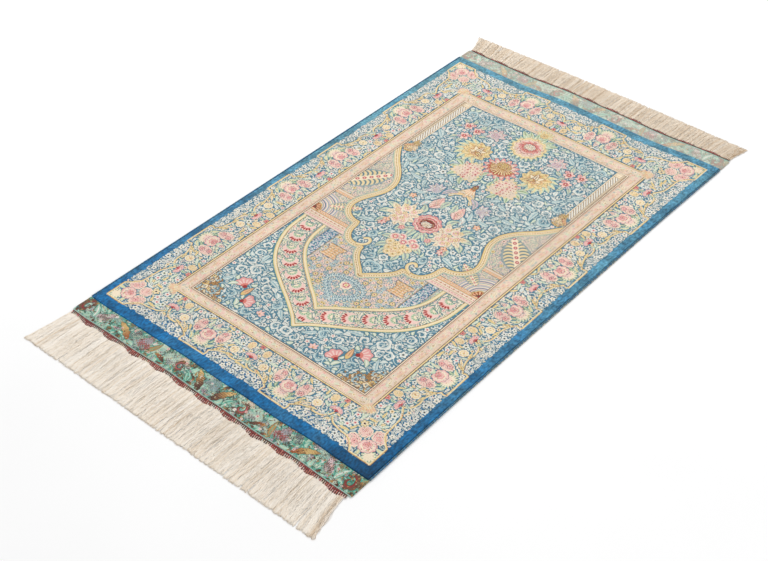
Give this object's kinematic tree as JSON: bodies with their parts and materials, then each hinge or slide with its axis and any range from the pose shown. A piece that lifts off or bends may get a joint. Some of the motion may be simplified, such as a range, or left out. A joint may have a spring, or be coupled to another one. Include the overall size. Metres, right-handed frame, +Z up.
{
  "type": "persian rug",
  "caption": "Rectangular silk pile rug with a prayer-niche design, flat-woven end bands, scalloped overcast edgings and long fringes, lying flat on the floor.",
  "frame": {"origin": "middle of the pile's underside, on the floor", "axes": "+Z up from the floor, +Y along the rug towards the end with the shorter fringe, +X across the rug"},
  "size_m": [0.6184, 1.185, 0.0035],
  "materials": {
    "silk_pile": "soft silk sheen",
    "selvedge_cord": "matt overcast silk",
    "kilim_weave": "flat weave, slight sheen",
    "twining_cord": "twined cord",
    "edging_stitches": "overcast stitches",
    "fringe_silk": "silky loose threads"
  },
  "bodies": {
    "root": {"pile_carpet": "silk_pile", "selvedge_left": "selvedge_cord", "selvedge_right": "selvedge_cord", "kilim_front": "kilim_weave", "kilim_back": "kilim_weave", "twining_front": "twining_cord", "twining_back": "twining_cord", "edging_front": "edging_stitches", "edging_back": "edging_stitches", "fringe_front": "fringe_silk", "fringe_back": "fringe_silk"}
  },
  "joints": []
}
